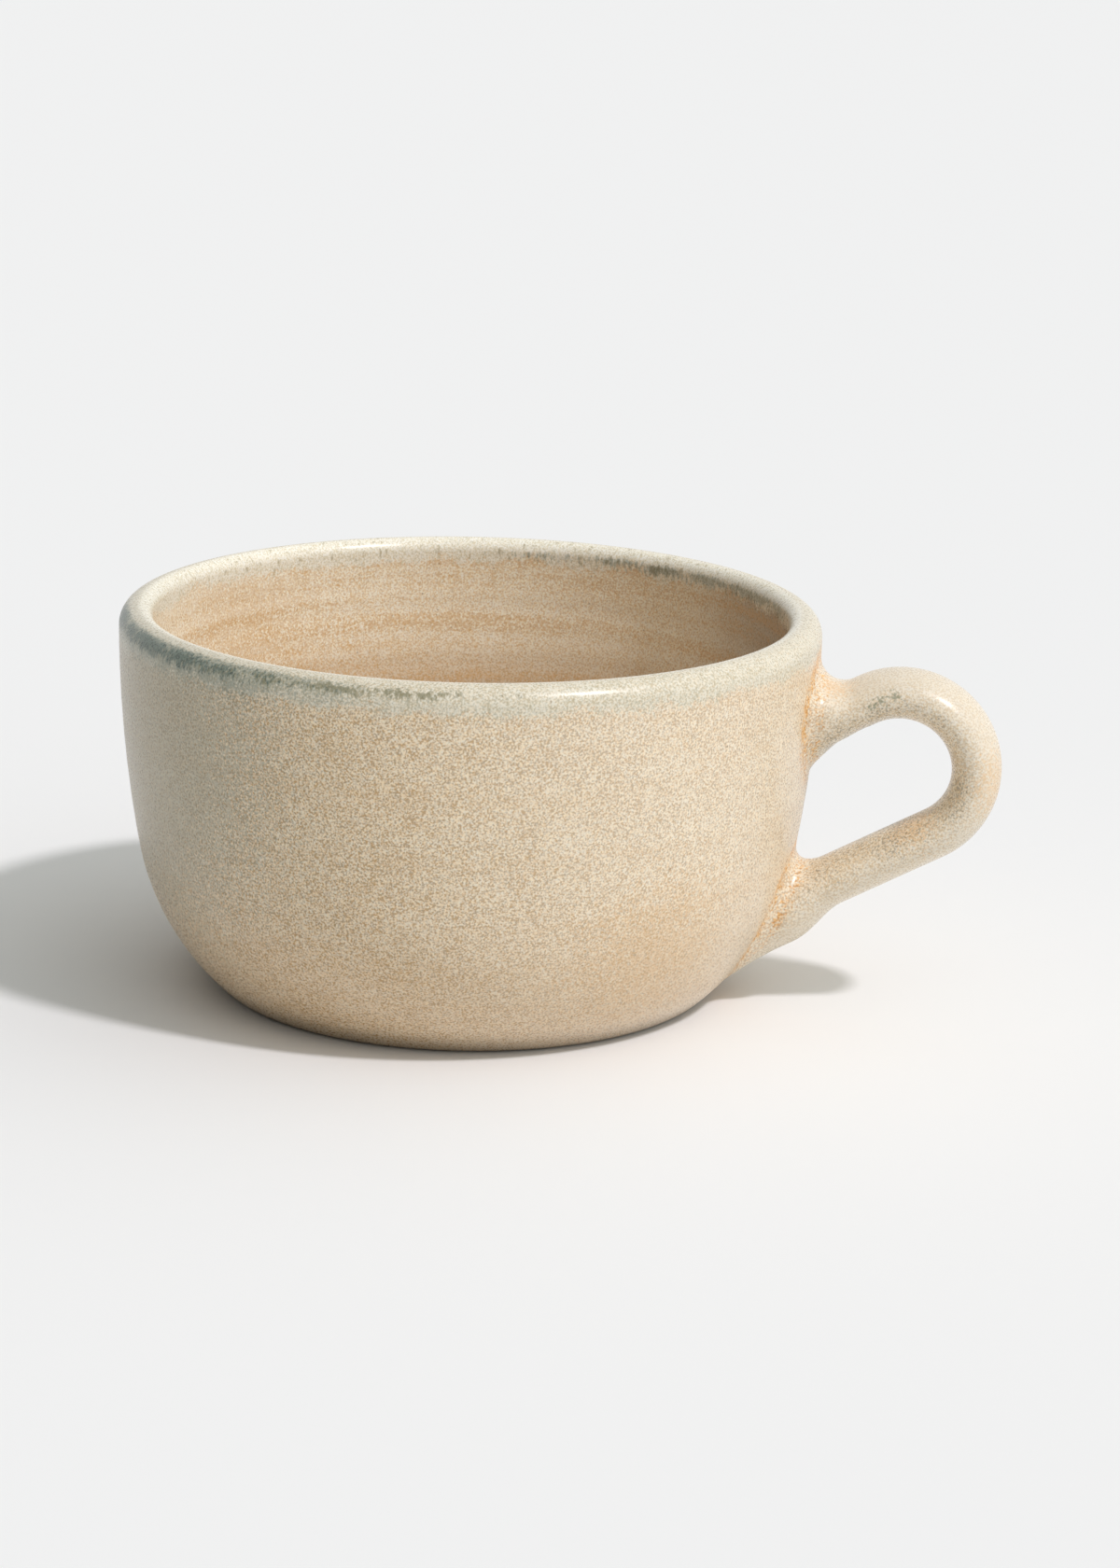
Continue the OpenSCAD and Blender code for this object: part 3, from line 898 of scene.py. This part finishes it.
inner_pale = ground(tree, sand, INNER_PALE_GROUNDS, INNER_PALES)
pale = lay_over(tree, inside, outer_pale, inner_pale)
few = work_out(tree, "MULTIPLY_ADD", inside, more_inside, olive_density)
pale = sprinkle(tree, upright, few, pale, OLIVE, share=0.7, fine=1500.0)
colour = sprinkle(tree, place, dip, colour, pale, share=0.92, fine=2000.0, softness=0.5)
colour = wash(tree, veil, work_out(tree, "MULTIPLY", dip, veil_share), colour, HAZE)
print(bowl_glaze.name, "nodes with the dip:", len(tree.nodes))

# %% [markdown]
# ## The runs along the lip
# On the outside a grey-green haze hangs under the lip, an olive tail lies over it, and the dark
# blue-grey run comes last. Inside, a moss-coloured run has a tail of its own. One group makes all
# five, so each run is a row of settings: where it lies, on which side, how dense it is and what
# share of its colour shows.

# %% Material: bowl glaze, the runs
SEA, DARK_OLIVE = paint(136, 142, 126), paint(122, 118, 86)
SLATES = paint(58, 77, 72), paint(103, 121, 111)
MOSSES = paint(112, 131, 126), paint(158, 174, 167)
slate = lay_over(tree, sand["Tone"], *SLATES)
moss = lay_over(tree, sand["Tone"], *MOSSES)
RUNS = (
    {"side": outside, "dense": 1.0, "tone": SEA, "share": 0.6, "grains": place, "fine": 2600.0,
     "softness": 0.4,
     "where": {"Starts": -3.12, "Full from": -2.85, "Full to": -2.3, "Ends": -1.2, "Height": 0.0602,
               "Upwards": 0.0008, "Downwards": 0.0068, "Ragged": 0.004, "Patchy": 0.2}},
    {"side": outside, "dense": 0.65, "tone": DARK_OLIVE, "share": 0.75, "grains": upright, "fine": 1900.0,
     "softness": 0.35,
     "where": {"Starts": -2.9, "Full from": -2.2, "Full to": -1.7, "Ends": -0.9, "Height": 0.0597,
               "Upwards": 0.0012, "Downwards": 0.0022}},
    {"side": outside, "dense": 0.88, "tone": slate, "share": 0.82, "grains": upright, "fine": 2300.0,
     "softness": 0.4,
     "where": {"Starts": -3.12, "Full from": -2.85, "Full to": -2.45, "Ends": -1.35, "Height": 0.0598,
               "Upwards": 0.0014, "Downwards": 0.0032, "Patchy": 0.45}},
    {"side": inside, "dense": 0.8, "tone": moss, "share": 0.58, "grains": upright, "fine": 2300.0,
     "softness": 0.4,
     "where": {"Starts": 0.1, "Full from": 0.4, "Full to": 1.25, "Ends": 1.9, "Height": 0.0588,
               "Upwards": 0.0014, "Downwards": 0.0025, "Ragged": 0.0018, "Patchy": 0.5}},
    {"side": inside, "dense": 0.55, "tone": DARK_OLIVE, "share": 0.65, "grains": upright, "fine": 1900.0,
     "softness": 0.35,
     "where": {"Starts": 0.8, "Full from": 1.0, "Full to": 1.3, "Ends": 1.8, "Height": 0.0590,
               "Upwards": 0.0016, "Downwards": 0.0024}})
for streak in RUNS:
    density = use(tree, run, {"Place": place, **streak["where"]})["Density"]
    density = work_out(tree, "MULTIPLY", work_out(tree, "MULTIPLY", density, streak["dense"]), streak["side"])
    colour = sprinkle(tree, streak["grains"], density, colour, streak["tone"], streak["share"],
                      streak["fine"], streak["softness"])
print(bowl_glaze.name, "runs:", len(RUNS), "nodes:", len(tree.nodes))

# %% [markdown]
# ## Rust and specks on the bowl
# Last come the rust at the seams, with a faint halo around it, and the specks of iron, which burn
# through everything. The rust is a function, because handle and joints need the same one: made
# twice by hand, the two would not meet at the seam.

# %% Material: bowl glaze, rust and specks
RUSTS = paint(198, 136, 64), paint(241, 193, 120)
IRON = paint(122, 96, 68)
halo_density = 0.5


def add_rust(tree, place, seam, sand, colour, shoulder):
    """Rust on the crease at a seam, and by a share on the shoulder above it."""
    rust = use(tree, rusty, {"Place": place, "From seam": seam, "Shoulder": shoulder})
    rust_tone = lay_over(tree, sand["Tone"], *RUSTS)
    faint = work_out(tree, "MULTIPLY", rust["Halo"], halo_density)
    colour = sprinkle(tree, place, faint, colour, rust_tone, share=0.4)
    return sprinkle(tree, place, rust["Rust"], colour, rust_tone, share=0.86, softness=0.45)


colour = add_rust(tree, place, seam, sand, colour, shoulder=0.0)
colour = wash(tree, sand["Specks"], 0.45, colour, IRON)
finish_glaze(tree, shader, colour, sand, smoothest=0.26, roughest=0.36)
print(bowl_glaze.name, "nodes:", len(tree.nodes))

# %% [markdown]
# ## The colours of the handle
# The handle was dipped in the same bucket, but the coat is thicker and paler. Grey grains lie in
# patches all over it, and on the inner side of the loop, which faces away from the light, more grey
# grains are painted as shade; on the outer side, where it runs off, it is clean. Three warm
# blushes, and a grey-green pool made of three spots in a row, are single marks. They could be
# painted on a map of the handle, but a soft spot needs no map.

# %% Colours and marks of the handle
HANDLE_TANS = paint(209, 196, 174), paint(218, 194, 157)
HANDLE_CREAMS = paint(237, 231, 218), paint(242, 230, 207)
# The grey below is partly real specks and partly painted shade on the loop's inner side.
RUN_OFF, GREY_SPECKS_AND_SHADE = paint(226, 214, 194), paint(126, 118, 100)
BLUSH, POOL = paint(228, 186, 132), paint(130, 135, 110)
BLUSHES = ({"X": 0.0705, "Y": -0.0035, "Z": 0.0310, "Radius": 0.0090},
           {"X": 0.0835, "Y": -0.0020, "Z": 0.0380, "Radius": 0.0120},
           {"X": 0.0575, "Y": -0.0030, "Z": 0.0525, "Radius": 0.0060})
POOLS = ({"X": 0.0637, "Y": -0.0062, "Z": 0.0501, "Radius": 0.0022},
         {"X": 0.0656, "Y": -0.0062, "Z": 0.0509, "Radius": 0.0025},
         {"X": 0.0676, "Y": -0.0060, "Z": 0.0520, "Radius": 0.0022})
print("blushes:", len(BLUSHES), "spots in the pool:", len(POOLS))

# %% [markdown]
# ## The glaze on handle and joints
# Close to a seam the colours have to meet the bowl's, so the seam's distance blends from one
# ground to the other. Joints and handle could share one material, but the record gives them a
# slot each, so they share the recipe.

# %% Materials: handle glaze and joint glaze
blend_reach, grey_fineness, grey_swing = 0.006, (120, 120, 120), 0.5
clean_from, clean_full, shade_from, shade_full = -0.2, 0.9, 0.7, -0.5
inner_shade_density, blush_density, pool_density = 0.36, 0.7, 0.55


def handle_recipe(name):
    """Paler glaze that turns into the bowl's grain and rust close to a seam."""
    material, tree, shader, place, seam = start_glaze(name)
    sand = use(tree, grain, {"Place": place})
    away = soft_step(tree, seam, 0.0, blend_reach)
    # Beside the bowl the handle takes the bowl's outside ground with its paler tone, which is painted light
    # on the bowl's lit side.
    beside_bowl = lay_over(tree, lit_side_share, ground(tree, sand, TANS, CREAMS), CLEAN_AND_LIT_TONE)
    colour = lay_over(tree, away, beside_bowl, ground(tree, sand, HANDLE_TANS, HANDLE_CREAMS))
    side = wire(tree, "ShaderNodeAttribute", attribute_name="out_side").outputs["Fac"]
    outer = work_out(tree, "MULTIPLY", soft_step(tree, side, clean_from, clean_full), away)
    colour = wash(tree, outer, 0.5, colour, RUN_OFF)
    colour = add_marks(tree, place, BLUSHES, blush_density, colour, BLUSH, share=0.45)
    # painted shade: more grey grains on the inner side of the loop, which the light does not reach
    inner = work_out(tree, "MULTIPLY", soft_step(tree, side, shade_from, shade_full), inner_shade_density)
    patchy = swing(tree, speckle(tree, place, grey_fineness), grey_swing)
    dense = work_out(tree, "MULTIPLY", work_out(tree, "ADD", patchy, inner), away)
    colour = sprinkle(tree, place, dense, colour, GREY_SPECKS_AND_SHADE, share=0.6, fine=2800.0)
    colour = add_marks(tree, place, POOLS, pool_density, colour, POOL, share=0.7, fine=2000.0)
    colour = add_rust(tree, place, seam, sand, colour, shoulder=0.7)
    finish_glaze(tree, shader, colour, sand, smoothest=0.24, roughest=0.34)
    return material


handle_glaze = handle_recipe("pale handle glaze")
joint_glaze = handle_recipe("joint glaze")
print(handle_glaze.name, "nodes:", len(handle_glaze.node_tree.nodes))

# %% [markdown]
# ## Bare clay under the foot
# A potter wipes the foot ring free of glaze, or the cup would stick to the kiln shelf. The bare
# stoneware is matt and buff with coarse sand in it. It uses the same grain group as the glaze, set
# coarser and rougher, and is given to the faces that look down inside the foot.

# %% Material: bare clay
CLAY, CLAY_SAND = paint(168, 134, 98), paint(205, 178, 144)
coarse = {"Fine": 1700.0, "Contrast": 1.6, "Specks": 300.0, "Speck size": 0.14}
bare_clay, tree, shader, place, seam = start_glaze("bare clay")
sand = use(tree, grain, {"Place": place, **coarse})
colour = lay_over(tree, sand["Tone"], CLAY, CLAY_SAND)
colour = wash(tree, sand["Specks"], 0.7, colour, IRON)
finish_glaze(tree, shader, colour, sand, smoothest=0.8, roughest=0.95)

coats = ((bowl, bowl_glaze), (bowl, bare_clay), (handle, handle_glaze),
         (upper_joint, joint_glaze), (lower_joint, joint_glaze))
for piece, material in coats:
    piece.data.materials.append(material)
for face in bowl.data.polygons:
    in_foot = math.hypot(face.center.x, face.center.y) < foot_r * MM
    face.material_index = int(in_foot and face.normal.z < 0)
print("bare faces:", sum(face.material_index for face in bowl.data.polygons))

# %% [markdown]
# ## The floor
# The cup stands on pale paper that runs on to the horizon. A shadow catcher would keep only the
# shadow, but real paper also throws light back up at the belly, so a wide matt plane is used.

# %% Floor
PAPER = (0.871, 0.874, 0.875, 1)
floor_reach = 12.0
floor_mesh = bmesh.new()
bmesh.ops.create_grid(floor_mesh, x_segments=1, y_segments=1, size=floor_reach)
floor_data = bpy.data.meshes.new("pale_floor")
floor_mesh.to_mesh(floor_data)
floor = bpy.data.objects.new("pale_floor", floor_data)
bpy.context.scene.collection.objects.link(floor)
paper = bpy.data.materials.new("pale paper")
paper.use_nodes = True
matt = {"Base Color": PAPER, "Roughness": 1.0, "Specular IOR Level": 0.0}
for socket, value in matt.items():
    paper.node_tree.nodes["Principled BSDF"].inputs[socket].default_value = value
floor.data.materials.append(paper)
print("floor:", 2 * floor_reach, "m wide")

# %% [markdown]
# ## The sky
# Daylight comes mostly from overhead and from the right, as beside a window. Area lamps could do
# that, but they would show as shapes in the gloss. So the sky itself gets brighter upwards and to
# the right, with the faintest green, which turns the shadow grey-green. The camera and the gloss
# see an even pale backdrop instead.

# %% Sky
SKYLIGHT, BACKDROP = (0.98, 1.005, 0.98, 1), (1, 1, 1, 1)
horizon_level, overhead_rise, window_rise, backdrop_level = 0.10, 0.74, 0.50, 0.88
sky = bpy.data.worlds.new("window sky")
sky.use_nodes = True
bpy.context.scene.world = sky
sky_tree = sky.node_tree
direction = sky_tree.nodes.new("ShaderNodeTexCoord").outputs["Generated"]
way = wire(sky_tree, "ShaderNodeSeparateXYZ", {0: direction}).outputs
strength = work_out(sky_tree, "MULTIPLY_ADD", way["Z"], overhead_rise, horizon_level)
strength = work_out(sky_tree, "MULTIPLY_ADD", way["X"], window_rise, strength)
strength = work_out(sky_tree, "MAXIMUM", strength, 0.0)
skylight = wire(sky_tree, "ShaderNodeBackground", {"Color": SKYLIGHT, "Strength": strength})
backdrop = wire(sky_tree, "ShaderNodeBackground", {"Color": BACKDROP, "Strength": backdrop_level})
path = sky_tree.nodes.new("ShaderNodeLightPath").outputs
mirrored = work_out(sky_tree, "MAXIMUM", path["Is Glossy Ray"], path["Is Transmission Ray"])
seen = work_out(sky_tree, "MAXIMUM", path["Is Camera Ray"], mirrored)
blend = wire(sky_tree, "ShaderNodeMixShader", {0: seen, 1: skylight.outputs[0], 2: backdrop.outputs[0]})
sky_tree.links.new(blend.outputs[0], sky_tree.nodes["World Output"].inputs["Surface"])
print("sky at the horizon:", horizon_level, "overhead:", horizon_level + overhead_rise)

# %% [markdown]
# ## The sun
# One sun from the front right draws the long shadow and the highlights on the lip. A point lamp
# would spread the shadow as it falls, while the rays of a sun stay parallel. Its disc is five
# degrees wide, about ten times the real one, for a soft edge as through thin cloud. A trace of
# rose balances the sky's green, so that the lit floor stays neutral.

# %% Sun
sun_strength, sun_width = 1.61, math.radians(5)
SUNLIGHT = (1.01, 0.975, 1.01)
towards_sun = Vector((0.529, -0.278, 0.802))
sun_data = bpy.data.lights.new("soft_sun", "SUN")
sun_data.energy = sun_strength
sun_data.color = SUNLIGHT
sun_data.angle = sun_width
sun = bpy.data.objects.new("soft_sun", sun_data)
sun.rotation_euler = towards_sun.to_track_quat("Z", "Y").to_euler()
bpy.context.scene.collection.objects.link(sun)
sun_height = math.degrees(math.asin(towards_sun.normalized().z))
print("sun:", sun_data.energy, "height in degrees:", round(sun_height))

# %% [markdown]
# ## The camera
# A long lens from a little above keeps the lip's ellipse calm and the wall nearly upright. The
# camera could be placed by eye, but then no edge would lie where it does in the photograph. So it
# was fitted to the photograph's outline: it looks down by fifteen degrees, is turned nine degrees
# around the cup, and is tilted by a little over one degree, as a camera in the hand is.

# %% Camera and colour
look_down, around_cup, tilt = math.radians(15.0), math.radians(9.0), math.radians(1.37)
standing_at = Vector((0.01451, -0.66639, 0.21082))
camera_data = bpy.data.cameras.new("camera")
camera_data.lens = 100
camera_data.sensor_width = 36
camera_data.clip_end = 100
camera = bpy.data.objects.new("camera", camera_data)
turned = Matrix.Rotation(around_cup, 4, "Z")
aimed = Matrix.Rotation(quarter - look_down, 4, "X") @ Matrix.Rotation(tilt, 4, "Z")
camera.matrix_world = turned @ Matrix.Translation(standing_at) @ aimed
bpy.context.scene.collection.objects.link(camera)
bpy.context.scene.camera = camera
bpy.context.scene.view_settings.view_transform = "Standard"
print("camera at", [round(x, 3) for x in camera.matrix_world.translation])

# %% [markdown]
# ## The last update
# The dressed cup was drawn to the size of the solids, from the bowl's width and height in the
# frame. A last update of the view layer puts every piece in its place.

# %% Update the view layer and finish
bpy.context.view_layer.update()
